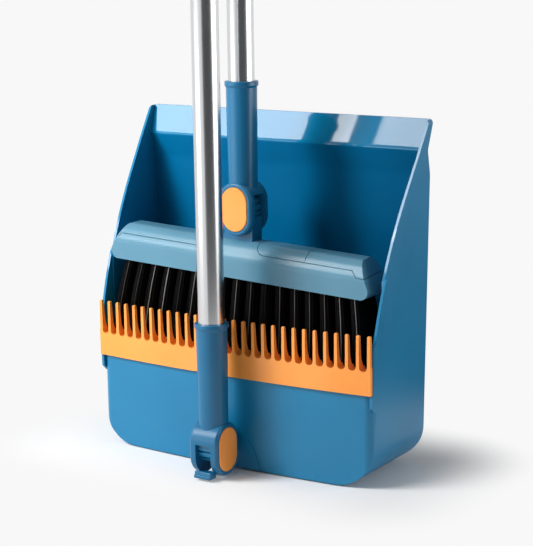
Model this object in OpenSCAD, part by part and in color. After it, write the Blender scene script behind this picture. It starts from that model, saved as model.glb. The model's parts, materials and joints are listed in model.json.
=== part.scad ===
// Upright dust pan with a cleaning comb and a folding handle, and the broom that stands
// in it on its bristles. Millimetres, +Z up. The origin is the middle of the pan's base.

/* [Pan] */
// Outside width of the pan at its base
pan_w_base = 268; // [250:1:290]
// Outside width of the pan at its top
pan_w_top = 281; // [268:1:300]
// Outside depth of the pan, front wall to back wall
pan_d = 94.5; // [90:0.5:110]
// Height of the back wall with its lip
pan_h = 288; // [275:1:310]
// Thickness of the pan's walls
pan_wall = 2.2; // [1.8:0.1:3]
// How far the front wall bows forward at its middle
pan_bow = 6.5; // [4:0.5:9]
// Height of the front wall, under the comb
front_wall_h = 96; // [85:1:110]
// Radius of the lower corners, seen from the front
base_corner_r = 32; // [20:1:40]
// Radius of the lower back edge, seen from the side
back_edge_r = 20; // [12:1:26]
// Radius of the upright front corners
front_corner_r = 9; // [7:0.5:12]

/* [Pan sides and lip] */
// Height at which the side walls start to lean back
side_edge_z = 119; // [112:1:128]
// Setback of the side walls' front edges behind the middle of the front wall
side_edge_setback = 9; // [7:0.2:10]
// Lean of the front edges at their foot, in degrees
side_lean_low = 14; // [10:1:18]
// Lean of the front edges at their top, in degrees
side_lean_top = 32; // [30:0.5:33]
// Radius of the bend between the two leans
side_bend_r = 395; // [300:5:450]
// Height of the flared lip
lip_h = 24.5; // [18:0.5:30]
// How far the lip flares behind the back wall
lip_flare = 4; // [2:0.5:6]
// Depth of the throat under the lip
throat_depth = 4.8; // [3:0.2:7]
// Height over which the back wall bends in to the throat
throat_h = 20; // [14:1:26]

/* [Comb] */
// Number of tines
tine_count = 29; // [21:2:31]
// Distance of the outermost tines from the ends of the band
comb_end = 1.8; // [1.8:0.1:4]
// Width of a tine at its root
tine_w = 2.8; // [2.6:0.1:3.6]
// Height of the tine tips above the front wall
tine_rise = 30.7; // [24:0.1:36]
// Depth of a tine at its root, behind the wall's face
tine_depth = 5.8; // [4:0.2:6.4]
// Height of the band below the front wall's top
comb_skirt = 17.8; // [12:0.2:24]
// Thickness of the band in front of the wall
comb_t = 3; // [2:0.5:4]

/* [Handle joint] */
// Width of a knuckle across its two cheeks
knuckle_t = 27.5; // [26:0.5:30]
// Width of a cheek
knuckle_w = 32.5; // [31:0.5:34]
// Height of a cheek
knuckle_h = 45; // [44:0.5:47]
// Rounding of the cheeks' edges
knuckle_r = 2.6; // [1:0.2:3.2]
// Width of the eye between the cheeks
eye_t = 14.4; // [12:0.2:15]
// Radius of the eye
eye_r = 12.4; // [11:0.2:12.8]
// Number of locking grooves round the eye
eye_grooves = 13; // [9:1:15]
// Diameter of the hinge pin
pin_d = 6; // [5:0.5:7]
// Running clearance of the pin on the radius
pin_gap = 0.05; // [0.02:0.01:0.1]
// Width of the push button
button_w = 25; // [23:0.5:26]
// Height of the push button
button_h = 37; // [35:0.5:38]
// Travel of the push button
button_travel = 2; // [1.5:0.1:2.2]
// How far the button stands proud of the cheek
button_proud = 0.8; // [0.4:0.1:1.2]
// Wire of the button spring
spring_wire = 0.9; // [0.7:0.1:1]

/* [Sleeves and tubes] */
// Diameter of the steel tubes
tube_d = 22; // [21:0.5:23]
// Wall of the steel tubes
tube_wall = 0.8; // [0.5:0.1:1.2]
// Diameter of a sleeve at its top
sleeve_d_top = 25.8; // [25:0.2:28]
// Diameter of a sleeve at its foot
sleeve_d_low = 24.4; // [24:0.2:26]
// Height of a sleeve's top above the hinge
sleeve_top = 105; // [90:1:125]
// Diameter of the rim round a sleeve's top
rim_d = 28; // [27:0.2:30]
// Height of that rim
rim_h = 3.6; // [2:0.2:6]
// Height of the tube's foot above the hinge
tube_foot = 46; // [40:1:60]
// Length of each of the two tubes of the pan's handle
pan_tube_len = 366; // [300:2:420]
// Length of each of the two tubes of the broom's handle
broom_tube_len = 344; // [300:2:420]
// Length of the coupling between two tubes
coupling_len = 50; // [40:2:64]
// Diameter of the coupling
coupling_d = 26; // [25:0.5:28]
// Length of a grip
grip_len = 112; // [90:2:130]
// Diameter of a grip
grip_d = 30; // [28:0.5:34]
// Diameter of the hole in an end cap
hang_hole_d = 10; // [7:0.5:12]

/* [Broom] */
// Sideways place of the pan's handle
pan_handle_x = 3.5; // [-4:0.5:4]
// Sideways place of the broom's handle
broom_x = -2.5; // [-4:0.5:2]
// Distance of the broom's handle behind the pan's front wall
broom_setback = 34; // [32:0.5:40]
// Lean of the head on its hinge, in degrees
head_lean = 2.6; // [0:0.2:2.8]
// Sideways offset of the head from its hinge
head_shift = 3.5; // [-2:0.5:4]
// Clearance of the head to each side wall
head_side_gap = 4.3; // [4:0.1:12]
// Depth of the head, front to back
head_d = 38; // [34:0.5:40]
// Distance of the head's top below the hinge
head_drop = 26; // [25:0.2:29]
// Height of the head
head_h = 30.5; // [29:0.5:34]
// Height of the head's flat front band
head_band = 17.5; // [16:0.5:21]
// Wall of the head
head_wall = 2.2; // [1.8:0.1:3]
// Thickness of the covers on the head
cover_t = 1.2; // [0.8:0.1:1.5]
// Length of the bristles
bristle_len = 150.8; // [120:0.2:160]
// Thickness of the bristle field at the head
bristle_t_top = 28; // [24:1:30]
// Thickness of the bristle field at its tips
bristle_t_tip = 42; // [34:1:46]

/* [Hidden] */

$fn = 96;
// How far a rounded outline's short sides may stray from the true arc
arc_sag = 0.02;
eps = 0.01;
// Clearance between pieces of one body that slide together
fit_gap = 0.1;
// Clearance between pieces that move past each other
run_gap = 0.3;
// Reach of a cut that leaves the part altogether
past = 400;

blue = "steelblue";
pale_blue = "lightsteelblue";
orange = "orange";
steel = "silver";

// Pan
front_y = -pan_d / 2;
side_ease_a = 5;
corner_x = pan_w_base / 2 + 1;
bow_chord = corner_x - 1.6 * front_corner_r;
bow_r = pow(pan_w_base / 2, 2) / (2 * pan_bow) + pan_bow / 2;
bow_a = asin(bow_chord / bow_r);
bow_rise = bow_r / cos(bow_a) - bow_r;
throat_z = pan_h - lip_h;
edge_foot = [side_edge_setback, side_edge_z];
edge_bend = edge_foot + side_bend_r * tan((side_lean_top - side_lean_low) / 2)
          * [sin(side_lean_low), cos(side_lean_low)];
edge_head = edge_bend + (pan_h + eps - edge_bend[1]) * [tan(side_lean_top), 1];
lip_corner_r = 4;
fin_drop = 10.5;
fin_ahead = 1.5;
fin_chamfer = 5;
fin_back = 25;

// Comb
comb_z = front_wall_h - comb_skirt;
comb_root = front_wall_h + 1.5;
comb_seat = front_wall_h + 0.3;
comb_inset = 0.4;
tine_tip_w = 2.4;
tine_tip_r = 1;
tine_tip_depth = 2.6;
// the tines flare towards the wall below their waist
tine_waist_depth = 4.1;
tine_waist_rise = 11;
tine_waist_r = 12;
comb_half = half_w(comb_z) - comb_inset;
comb_back = bow_at(comb_half) + run_gap;
tine_pitch = 2 * (comb_half - comb_end) / (tine_count - 1);
tine_gap_r = (tine_pitch - tine_w) / 2;

// Handle joint
pad_t = 0.8;
swing_gap = 1.2;
ground_gap = 1.1;
slot_t = eye_t + 2 * run_gap;
cavity_r = eye_r + 0.5;
pin_r = pin_d / 2;
pocket_depth = 4.6;
pocket_x = knuckle_t / 2 - pocket_depth;
button_gap = 0.25;
button_t = pocket_depth + button_proud - button_travel - 0.4;
button_dish = 1.4;
button_dish_r = 6.9;
pin_head_r = 5;
pin_head_t = 1.5;
cap_r = 7.5;
cap_t = 1.2;
cap_recess = pin_head_t + cap_t + fit_gap;
spring_r = 5.4;
spring_turns = 3;
groove_w = 1.9;
groove_depth = 1.8;
window_top = 4.9;
window_low = -18.4;
broom_window_top = 12;
toe_ahead = 2.4;
hinge_z = knuckle_h / 2 + ground_gap;
hinge_y = front_y - knuckle_h / 2 - pad_t - swing_gap;

// Bracket of the pan
tongue_top = 9;
tongue_low = -7;
pad_arch_r = 50;
pad_arch_drop = 7;
pad_half = 29;
pad_foot = 0.8;
screw_d = 3.5;
screw_head_r = 3.3;
screw_head_t = 1.8;
screw_len = 11;
screw_rows = [-3, 5];

// Tubes
bore_r = tube_d / 2 + fit_gap / 2;
butt_t = 2;
grip_end_gap = 2;
grip_taper = 14;
ring_count = 8;
ring_pitch = 9;
ring_r = 1.2;
plug_len = 24;
cap_h = 16;
eye_plate_t = 8;
eye_plate_r = 12;
eye_rise = 6;

// Broom
floor_gap = 0.3;
tip_half = 88;
splay_low = 36;
splay_high = 96;
root_in = 14;
broom_y = front_y + broom_setback;
head_len = pan_w_base - 2 * (pan_wall + head_side_gap);
head_low = -head_drop - head_h;
head_crease = head_low + head_band;
broom_z = pan_wall + floor_gap + bristle_len - head_low + (tip_half + head_shift) * sin(head_lean);
block_h = 6;
block_gap = 0.2;
end_lean = 0.47;
end_yaw = 6;
end_corner_r = 7;
under_half = head_len / 2 - end_corner_r - 1;
end_top_r = 6;
crease_r = 12;
top_edge_r = 12;
top_setback = 8;
stem_half = 14;
foot_half = 24;
foot_d = 18;
foot_t = 3;
foot_z = -head_drop - head_wall - 7;
boss_r = 3.6;
boss_x = 18;
cover_start = 22;
cover_gap = 0.5;
cover_joint_x = 70;
cover_joint_w = 0.6;
cover_joint_depth = 0.7;
cover_low = head_crease + 5;
cover_step = 5;
cover_end = 12.5;

// ---- helpers ----

// Half of the pan's outside width at height z
function half_w(z) = pan_w_base / 2 + (pan_w_top - pan_w_base) / 2 * z / pan_h;

// Distance of the front wall's face behind its middle, at x and inset by off
function bow_at(x, off = 0) = bow_r - sqrt(pow(bow_r - off, 2) - x * x);

function unit(v) = v / norm(v);

function turn(a, b) = a[0] * b[1] - a[1] * b[0];

// Points along the arc of radius r that rounds the corner `at`, close enough to be within arc_sag
function arc_points(before, at, after, r) =
  let (u = unit(before - at),
       v = unit(after - at),
       half = acos(u * v) / 2,
       centre = at + unit(u + v) * r / sin(half),
       from = at + u * r / tan(half) - centre,
       to = at + v * r / tan(half) - centre,
       sweep = atan2(turn(from, to), from * to),
       steps = ceil(abs(sweep) / (2 * acos(1 - arc_sag / r))))
  [for (k = [0:steps])
    let (a = sweep * k / steps)
    centre + cos(a) * from + sin(a) * [-from[1], from[0]]];

// Unit normal into the outline from the edge between two of its points
function inward(a, b) = let (u = unit(b - a)) [-u[1], u[0]];

// Outline of the given points, anticlockwise, moved inwards by off
function inset(pts, off) =
  let (n = len(pts))
  [for (i = [0:n - 1])
    let (p = inward(pts[(i + n - 1) % n], pts[i]), q = inward(pts[i], pts[(i + 1) % n]))
    pts[i] + off * (p + q) / (1 + p * q)];

// Does the outline turn outwards at point i
function juts(pts, i) =
  let (n = len(pts))
  turn(pts[i] - pts[(i + n - 1) % n], pts[(i + 1) % n] - pts[i]) > 0;

// Outline moved inwards by off, its rounded corners keeping their centres
module rounded_inset(pts, radii, off) {
  rounded(inset(pts, off),
          [for (i = [0:len(pts) - 1]) radii[i] == 0 ? 0 : radii[i] + (juts(pts, i) ? -off : off)]);
}

// Outline of the given points, anticlockwise, with an arc of its own radius at each corner
module rounded(pts, radii) {
  n = len(pts);
  polygon([for (i = [0:n - 1])
    each radii[i] > 0
      ? arc_points(pts[(i + n - 1) % n], pts[i], pts[(i + 1) % n], radii[i])
      : [pts[i]]]);
}

// Rectangle w wide and h high about the origin, with corners of radius r
module rounded_box(w, h, r) {
  rounded([[-w / 2, -h / 2], [w / 2, -h / 2], [w / 2, h / 2], [-w / 2, h / 2]], [r, r, r, r]);
}

// Outline in X and Z, made solid along Y
module along_y(y0, y1) {
  translate([0, y1, 0]) rotate([90, 0, 0]) linear_extrude(y1 - y0) children();
}

// Outline in Y and Z, made solid along X
module along_x(x0, x1) {
  translate([x0, 0, 0]) rotate([90, 0, 90]) linear_extrude(x1 - x0) children();
}

// Round bar along X
module bar_x(r, x0, x1) {
  translate([x0, 0, 0]) rotate([0, 90, 0]) cylinder(r = r, h = x1 - x0);
}

// Slab with half-round ends, w deep in Y and h high, t thick in X, edges rounded by r
module pill(w, h, t, r) {
  straight = h - w;
  translate([0, 0, -straight / 2]) linear_extrude(straight) rounded_box(t, w, r);
  for (s = [-1, 1])
    translate([0, 0, s * straight / 2]) rotate([0, 90, 0]) rotate_extrude()
      intersection() {
        rounded_box(w, t, r);
        translate([0, -t]) square([w, 2 * t]);
      }
}

module mirrored_x() {
  children();
  mirror([1, 0, 0]) children();
}

// ---- pan ----

// Plan of the pan's front and sides; the sides run wide of the walls, which lean out
plan_points = [
  [0, front_y - bow_rise],
  [corner_x, front_y - bow_rise + corner_x * tan(bow_a)],
  [corner_x + 2 * pan_d * tan(side_ease_a), 2 * pan_d],
  [-corner_x - 2 * pan_d * tan(side_ease_a), 2 * pan_d],
  [-corner_x, front_y - bow_rise + corner_x * tan(bow_a)]];

module plan(off) {
  rounded_inset(plan_points, [bow_r, front_corner_r, 0, 0, front_corner_r], off);
}

// The same plan with its corners left sharp
module sharp_plan(off) {
  rounded_inset(plan_points, [bow_r, 0, 0, 0, 0], off);
}

// Outline of the pan seen from the front, up to the height top and inset by off
module front(off, top = 2 * pan_h, top_r = 0) {
  wide = half_w(top);
  rounded_inset([[-half_w(0), 0], [half_w(0), 0], [wide, top], [-wide, top]],
                [base_corner_r, base_corner_r, top_r, top_r], off);
}

// Body of the pan without its back, inset by off
module core(off, top = 2 * pan_h, top_r = 0) {
  intersection() {
    along_y(-pan_d, 2 * pan_d) front(off, top, top_r);
    translate([0, 0, -1]) linear_extrude(3 * pan_h) plan(off);
  }
}

// Base, back wall, throat and lip seen from the side, open at the front and top
back_points = [
  [-pan_d, 0],
  [pan_d, 0],
  [pan_d, throat_z - throat_h],
  [pan_d - throat_depth, throat_z],
  [pan_d - throat_depth + 2 * (lip_flare + throat_depth), throat_z + 2 * lip_h],
  [-pan_d, throat_z + 2 * lip_h]];

module back(off) {
  rounded_inset(back_points, [0, back_edge_r, 30, 6, 0, 0], off);
}

// What lies behind the front wall's top and the side walls' front edges
module behind_edges() {
  rounded([[-pan_d / 2, -1], [2 * pan_d, -1], [2 * pan_d, pan_h + eps], edge_head, edge_bend, edge_foot,
           [side_edge_setback - 0.5, front_wall_h], [-pan_d / 2, front_wall_h]],
          [0, 0, 0, 2, side_bend_r, 0, 0, 0]);
}

// Flat front part of a side wall, with the fin that runs ahead of the rounded corner
module fin_side() {
  lead = bow_at(comb_half) - fin_ahead;
  low = comb_z - fin_drop - fin_chamfer;
  step = comb_z - run_gap;
  intersection() {
    rounded([[lead, low + fin_chamfer], [lead + fin_chamfer, low], [pan_d, low], [pan_d, pan_h],
             edge_head, edge_bend, edge_foot, [comb_back, side_edge_z], [comb_back, step], [lead, step]],
            [1, 1, 0, 0, 0, side_bend_r, 0, 1.5, 0, 0.6]);
    square([2 * fin_back, 4 * pan_h], center = true);
  }
}

module side_fins() {
  intersection() {
    along_y(-pan_d, pan_d) difference() {
      front(0);
      front(pan_wall);
    }
    translate([0, front_y, 0]) along_x(-pan_w_top, pan_w_top) fin_side();
  }
}

module pan_outside() {
  intersection() {
    core(0, pan_h, lip_corner_r);
    translate([0, front_y, 0]) along_x(-pan_w_top, pan_w_top) intersection() {
      back(0);
      behind_edges();
    }
  }
}

module pan_inside() {
  intersection() {
    core(pan_wall);
    translate([0, front_y, 0]) along_x(-pan_w_top, pan_w_top) back(pan_wall);
  }
}

// Screw holes of the bracket through the front wall
module bracket_screw_axes() {
  for (z = screw_rows)
    translate([pan_handle_x, front_y, hinge_z + z]) rotate([90, 0, 0]) children();
}

module pan_shell() {
  color(blue) difference() {
    union() {
      pan_outside();
      side_fins();
    }
    pan_inside();
    // the side walls stay flat up to their edges above the front wall
    intersection() {
      along_y(-pan_d, front_y + fin_back - 1) front(pan_wall);
      translate([-pan_w_top, -pan_d, front_wall_h - eps]) cube([2 * pan_w_top, 2 * pan_d, pan_h]);
    }
    bracket_screw_axes() translate([0, 0, -pan_wall - 2])
      cylinder(r = screw_d / 2 + fit_gap, h = pan_wall + 4);
  }
}

// Band along the front wall from one inset to another, between two heights
module comb_layer(out, in, z0, z1, half, reach) {
  translate([0, 0, z0]) linear_extrude(z1 - z0) intersection() {
    difference() {
      sharp_plan(out);
      sharp_plan(in);
    }
    translate([-half, front_y - 2 * comb_t]) square([2 * half, 2 * comb_t + reach]);
  }
}

// One tine seen from the side, its front a hair behind the band's
module tine_side() {
  face = 0.06 - comb_t;
  rounded([[face, comb_seat], [tine_depth - 0.1, comb_seat],
           [face + tine_waist_depth, front_wall_h + tine_waist_rise],
           [face + tine_tip_depth, front_wall_h + tine_rise], [face, front_wall_h + tine_rise]],
          [0, 0, tine_waist_r, 1, 1]);
}

module tine_front() {
  top = front_wall_h + tine_rise;
  rounded([[-tine_w / 2, comb_seat], [tine_w / 2, comb_seat],
           [tine_tip_w / 2, top], [-tine_tip_w / 2, top]],
          [0, 0, tine_tip_r, tine_tip_r]);
}

module comb_strip() {
  tine_xs = [for (i = [0:tine_count - 1]) (i - (tine_count - 1) / 2) * tine_pitch];
  band_top = comb_root + tine_gap_r;
  color(orange) {
    difference() {
      union() {
        comb_layer(-comb_t, -fit_gap, comb_z, band_top, comb_half, comb_back - run_gap);
        comb_layer(-comb_t / 2, tine_depth, comb_seat, band_top,
                   comb_half - pan_wall - 2 * run_gap, comb_back + tine_depth);
      }
      for (i = [0:tine_count - 2])
        translate([(tine_xs[i] + tine_xs[i + 1]) / 2, front_y, band_top])
          rotate([90, 0, 0]) cylinder(r = tine_gap_r, h = pan_d, center = true);
    }
    difference() {
      for (x = tine_xs)
        translate([x, front_y + bow_at(x), 0]) intersection() {
          along_x(-tine_w, tine_w) tine_side();
          along_y(-pan_d, pan_d) tine_front();
        }
      // room for the side walls behind the end tines
      mirrored_x() translate([half_w(comb_seat) - pan_wall - run_gap, front_y + comb_back - run_gap, 0])
        cube([pan_wall * 2, pan_d, pan_h]);
    }
  }
}

// ---- handle joint: origin on the hinge, hinge along X, handle up +Z, button at +X ----

module at_pan() {
  translate([pan_handle_x, hinge_y, hinge_z]) children();
}

module at_broom() {
  translate([broom_x, broom_y, broom_z]) rotate([0, 0, -90]) children();
}

module at_head() {
  translate([broom_x, broom_y, broom_z]) rotate([0, head_lean, 0]) children();
}

// Grooved eye that the knuckle turns on
module eye() {
  difference() {
    bar_x(eye_r, -eye_t / 2, eye_t / 2);
    bar_x(pin_r + pin_gap, -eye_t, eye_t);
    for (i = [0:eye_grooves - 1])
      rotate([(i + 0.5) * 360 / eye_grooves, 0, 0])
        translate([-eye_t, -groove_w / 2, eye_r - groove_depth])
          cube([2 * eye_t, groove_w, 2 * groove_depth]);
  }
}

// Sleeve that holds the tube, with its rim
module sleeve() {
  rotate_extrude() rounded(
    [[0, 0], [sleeve_d_low / 2, 0], [sleeve_d_low / 2, knuckle_h / 2],
     [sleeve_d_top / 2, sleeve_top - rim_h - 1.5], [rim_d / 2, sleeve_top - rim_h],
     [rim_d / 2, sleeve_top], [0, sleeve_top]],
    [0, 0, 0, 1, 0.6, 1, 0]);
}

// Cuts that every knuckle has
module knuckle_cuts() {
  // room for the eye
  bar_x(cavity_r, -slot_t / 2, slot_t / 2);
  // hinge pin
  bar_x(pin_r + pin_gap, -knuckle_t, knuckle_t);
  // pocket of the button
  translate([pocket_x + past / 2, 0, 0])
    pill(button_w + 2 * button_gap, button_h + 2 * button_gap, past, 0.3);
  // recess of the pin's head and its cap
  bar_x(cap_r + fit_gap, -knuckle_t, cap_recess - knuckle_t / 2);
  // bore of the tube
  translate([0, 0, tube_foot]) cylinder(r = bore_r, h = sleeve_top);
}

module knuckle_outside() {
  pill(knuckle_w, knuckle_h, knuckle_t, knuckle_r);
  sleeve();
}

// Opening between the cheeks on one side, from z0 to z1
module knuckle_slot(y0, y1, z0, z1) {
  translate([-slot_t / 2, y0, z0]) cube([slot_t, y1 - y0, z1 - z0]);
}

module pan_knuckle() {
  toe_y = -knuckle_w / 2 - toe_ahead;
  toe_low = -knuckle_h / 2 - 0.3;
  color(blue) at_pan() {
    difference() {
      knuckle_outside();
      knuckle_cuts();
      knuckle_slot(-knuckle_w, 0, window_low, window_top);
      knuckle_slot(0, knuckle_w, -knuckle_h, broom_window_top);
      knuckle_slot(-knuckle_w / 4, eps, -knuckle_h, 0);
    }
    // stepped toe across the front of the fork
    along_x(-slot_t / 2 - 0.2, slot_t / 2 + 0.2)
      rounded([[toe_y, toe_low], [-knuckle_w / 4 - 1, toe_low], [-knuckle_w / 4 - 1, window_low],
               [-knuckle_w / 4 - 3.5, window_low], [toe_y + 1.6, window_low + 1.6],
               [toe_y + 1.2, toe_low + 3.1], [toe_y, toe_low + 2.6]],
              [0.8, 0.5, 0.5, 0, 0.8, 0.2, 0.8]);
  }
}

module broom_knuckle() {
  color(blue) at_broom() difference() {
    knuckle_outside();
    knuckle_cuts();
    knuckle_slot(-knuckle_w, knuckle_w, -knuckle_h, broom_window_top);
  }
}

// Headed pin, its end past the pocket's floor to guide the spring
module hinge_pin() {
  head_x = -knuckle_t / 2 + cap_t + fit_gap;
  color(steel) rotate([0, 90, 0]) rotate_extrude() rounded(
    [[0, head_x], [pin_head_r, head_x], [pin_head_r, head_x + pin_head_t],
     [pin_r, head_x + pin_head_t], [pin_r, pocket_x + 1.2], [0, pocket_x + 1.2]],
    [0, 0.4, 0.3, 0, 0.4, 0]);
}

// Cap over the pin's head
module pin_cap() {
  color(blue) translate([-knuckle_t / 2, 0, 0]) rotate([0, 90, 0])
    rotate_extrude() rounded([[0, 0], [cap_r, 0], [cap_r, cap_t], [0, cap_t]], [0, 0.5, 0, 0]);
}

module push_button() {
  outer = knuckle_t / 2 + button_proud;
  color(orange) difference() {
    translate([outer - button_t / 2, 0, 0]) pill(button_w, button_h, button_t, 1);
    bar_x(button_dish_r, outer - button_t - 1, outer - button_t + button_dish);
  }
}

// Coil spring from the pocket's floor to the dish under the button
module button_spring() {
  x0 = pocket_x + spring_wire / 2 + 0.02;
  x1 = knuckle_t / 2 + button_proud - button_t + button_dish - spring_wire / 2 - 0.02;
  steps = 16 * spring_turns;
  sides = 8;
  function ring(i) =
    let (a = 360 * spring_turns * i / steps, x = x0 + (x1 - x0) * i / steps)
    [for (k = [0:sides - 1])
      let (b = 360 * k / sides, r = spring_r + spring_wire / 2 * cos(b))
      [x + spring_wire / 2 * sin(b), r * cos(a), r * sin(a)]];
  pts = [for (i = [0:steps]) each ring(i)];
  faces = concat(
    [[for (k = [0:sides - 1]) k]],
    [for (i = [0:steps - 1]) for (k = [0:sides - 1])
      [i * sides + k, (i + 1) * sides + k, (i + 1) * sides + (k + 1) % sides,
       i * sides + (k + 1) % sides]],
    [[for (k = [0:sides - 1]) steps * sides + sides - 1 - k]]);
  color(steel) polyhedron(pts, faces, convexity = 6);
}

// ---- bracket of the pan ----

// Arch that two large circles make over the foot of the pad
module pad_arch() {
  intersection() {
    translate([pad_arch_r - pad_half, -pad_arch_drop]) circle(pad_arch_r);
    translate([pad_half - pad_arch_r, -pad_arch_drop]) circle(pad_arch_r);
    translate([-pad_half, pad_foot]) square([2 * pad_half, pad_arch_r]);
  }
}

module pan_bracket() {
  reach = front_y - hinge_y;
  color(blue) {
    at_pan() difference() {
      union() {
        eye();
        difference() {
          translate([-eye_t / 2, 0, tongue_low]) cube([eye_t, reach, tongue_top - tongue_low]);
          bar_x(eye_r - groove_depth, -eye_t, eye_t);
        }
      }
      bar_x(pin_r + pin_gap, -eye_t, eye_t);
      for (z = screw_rows)
        translate([0, reach + 1, z]) rotate([90, 0, 0]) cylinder(r = screw_d / 2 + pin_gap, h = screw_len);
    }
    // thin arched pad on the bowed wall
    difference() {
      intersection() {
        linear_extrude(pan_h) difference() {
          plan(-pad_t);
          plan(0);
        }
        translate([pan_handle_x, 0, 0]) along_y(front_y - 3, front_y + 3) pad_arch();
      }
      bracket_screw_axes() cylinder(r = screw_d / 2 + pin_gap, h = screw_len, center = true);
    }
  }
}

// Pan-head screw along Z, head below the origin
module screw() {
  rotate_extrude() rounded(
    [[0, -screw_head_t], [screw_head_r, -screw_head_t], [screw_head_r, 0],
     [screw_d / 2, 0], [screw_d / 2, screw_len - 2], [0, screw_len - 0.5]],
    [0, 1, 0, 0, 0, 0]);
}

module pan_bracket_screws() {
  color(steel) bracket_screw_axes() translate([0, 0, -pan_wall - 0.02]) screw();
}

// ---- handles: origin on the hinge ----

module lower_tube(length) {
  color(steel) translate([0, 0, tube_foot + 0.05]) tube(length);
}

module upper_tube(length) {
  color(steel) translate([0, 0, tube_foot + 0.15 + length + butt_t]) tube(length);
}

module tube(length) {
  difference() {
    cylinder(r = tube_d / 2, h = length);
    translate([0, 0, -1]) cylinder(r = tube_d / 2 - tube_wall, h = length + 2);
  }
}

// Plastic coupling with a wall that the two tubes butt on
module coupling(length) {
  mid = tube_foot + 0.1 + length + butt_t / 2;
  color(blue) translate([0, 0, mid]) difference() {
    rotate_extrude() rounded(
      [[0, -coupling_len / 2], [coupling_d / 2, -coupling_len / 2],
       [coupling_d / 2, coupling_len / 2], [0, coupling_len / 2]], [0, 1.2, 1.2, 0]);
    for (s = [-1, 1])
      mirror([0, 0, s > 0 ? 0 : 1]) translate([0, 0, butt_t / 2]) cylinder(r = bore_r, h = coupling_len);
    for (a = [0:30:330])
      rotate([0, 0, a]) translate([coupling_d / 2 + 0.5, 0, 0])
        cylinder(r = 1, h = coupling_len / 2, center = true, $fn = 24);
  }
}

function tube_top(length) = tube_foot + 0.15 + 2 * length + butt_t;

// Ribbed grip over the top of the upper tube
module grip(length) {
  low = tube_top(length) - grip_len;
  rings = [for (i = [0:ring_count - 1]) grip_len / 2 + (i - (ring_count - 1) / 2) * ring_pitch];
  color(blue) translate([0, 0, low]) difference() {
    rotate_extrude() rounded(
      [[bore_r, 0], [sleeve_d_top / 2, 0], [grip_d / 2, grip_taper], [grip_d / 2, grip_len - grip_end_gap],
       [bore_r, grip_len - grip_end_gap]],
      [0, 1, 12, 3, 0]);
    for (z = rings)
      translate([0, 0, z]) rotate_extrude() translate([grip_d / 2 + ring_r / 3, 0])
        circle(ring_r, $fn = 24);
  }
}

// Plug and hanging eye on top of the upper tube
module end_cap(length) {
  top = tube_top(length);
  inner = tube_d / 2 - tube_wall - fit_gap;
  eye_z = cap_h + eye_rise;
  color(orange) translate([0, 0, top + 0.05]) difference() {
    union() {
      translate([0, 0, -plug_len]) cylinder(r = inner, h = plug_len + 1);
      rotate_extrude() rounded(
        [[0, 0], [grip_d / 2 - 1, 0], [grip_d / 2 - 1, cap_h / 2], [eye_plate_r - 1, cap_h], [0, cap_h]],
        [0, 1, 5, 3, 0]);
      translate([0, 0, eye_z]) rotate([90, 0, 0]) cylinder(r = eye_plate_r, h = eye_plate_t, center = true);
    }
    translate([0, 0, eye_z]) rotate([90, 0, 0]) cylinder(d = hang_hole_d, h = 4 * grip_d, center = true);
  }
}

// ---- broom head: origin on the hinge, before its lean ----

// Half of the head's length at height z: its ends lean in, and its lower corners are round
function head_half(z) = head_len / 2 - (z - head_low) * end_lean
                      + end_corner_r * (end_lean + norm([1, end_lean]) - 1);

module head_front(off) {
  rounded_inset([[head_shift - head_half(head_low), head_low], [head_shift + head_half(head_low), head_low],
                 [head_shift + head_half(-head_drop), -head_drop],
                 [head_shift - head_half(-head_drop), -head_drop]],
                [end_corner_r, end_corner_r, end_top_r, end_top_r], off);
}

module head_side(off) {
  d = head_d / 2;
  rounded_inset([[-d, 2 * head_low], [d, 2 * head_low], [d, head_crease], [d - top_setback, -head_drop],
                 [top_setback - d, -head_drop], [-d, head_crease]],
                [0, 0, crease_r, top_edge_r, top_edge_r, crease_r], off);
}

// What lies inside the right end face, which turns in towards the back
module head_end(off) {
  foot = 2 * head_low;
  slack = fit_gap - off / cos(atan(end_lean));
  translate([0, -head_d / 2, 0]) rotate([0, 0, end_yaw])
    along_y(-head_d, 2 * head_d)
      polygon([[-2 * head_len, foot], [head_half(foot) * cos(end_yaw) + slack, foot],
               [head_half(0) * cos(end_yaw) + slack, 0], [-2 * head_len, 0]]);
}

module head_solid(off) {
  intersection() {
    along_y(-head_d, head_d) head_front(off);
    along_x(-head_len, head_len) head_side(off);
    translate([head_shift, 0, 0]) intersection() {
      head_end(off);
      mirror([1, 0, 0]) head_end(off);
    }
  }
}

// Region of a side cover seen from the front, grown by g
module cover_region(g) {
  x1 = head_len / 2 - cover_end;
  low = cover_low - cover_step;
  rounded_inset([[cover_start, cover_low], [x1, cover_low], [x1 + cover_step, low],
                 [head_len, low], [head_len, 0], [cover_start, 0]], [9, 2, 2, 0, 0, 0], -g);
}

module both_covers(g) {
  mirrored_x() along_y(-head_d, head_d) cover_region(g);
}

module broom_head_shell() {
  color(pale_blue) at_head() {
    difference() {
      head_solid(0);
      difference() {
        head_solid(head_wall);
        // posts for the bracket's screws
        for (s = [-1, 1])
          translate([s * boss_x, 0, foot_z + fit_gap]) cylinder(r = boss_r, h = past);
      }
      // open underside
      translate([head_shift, 0, head_low]) linear_extrude(2 * block_h, center = true)
        rounded_box(2 * under_half, head_d - 2 * head_wall, 9);
      // seats of the side covers
      difference() {
        both_covers(cover_gap);
        head_solid(cover_t);
      }
      // slot of the bracket's stem
      translate([-stem_half - fit_gap, -eye_t / 2 - fit_gap, -past / 2])
        cube([2 * (stem_half + fit_gap), eye_t + 2 * fit_gap, past]);
      for (s = [-1, 1])
        translate([s * boss_x, 0, foot_z - eps]) cylinder(r = screw_d / 2 + pin_gap, h = 7);
    }
  }
}

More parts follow.
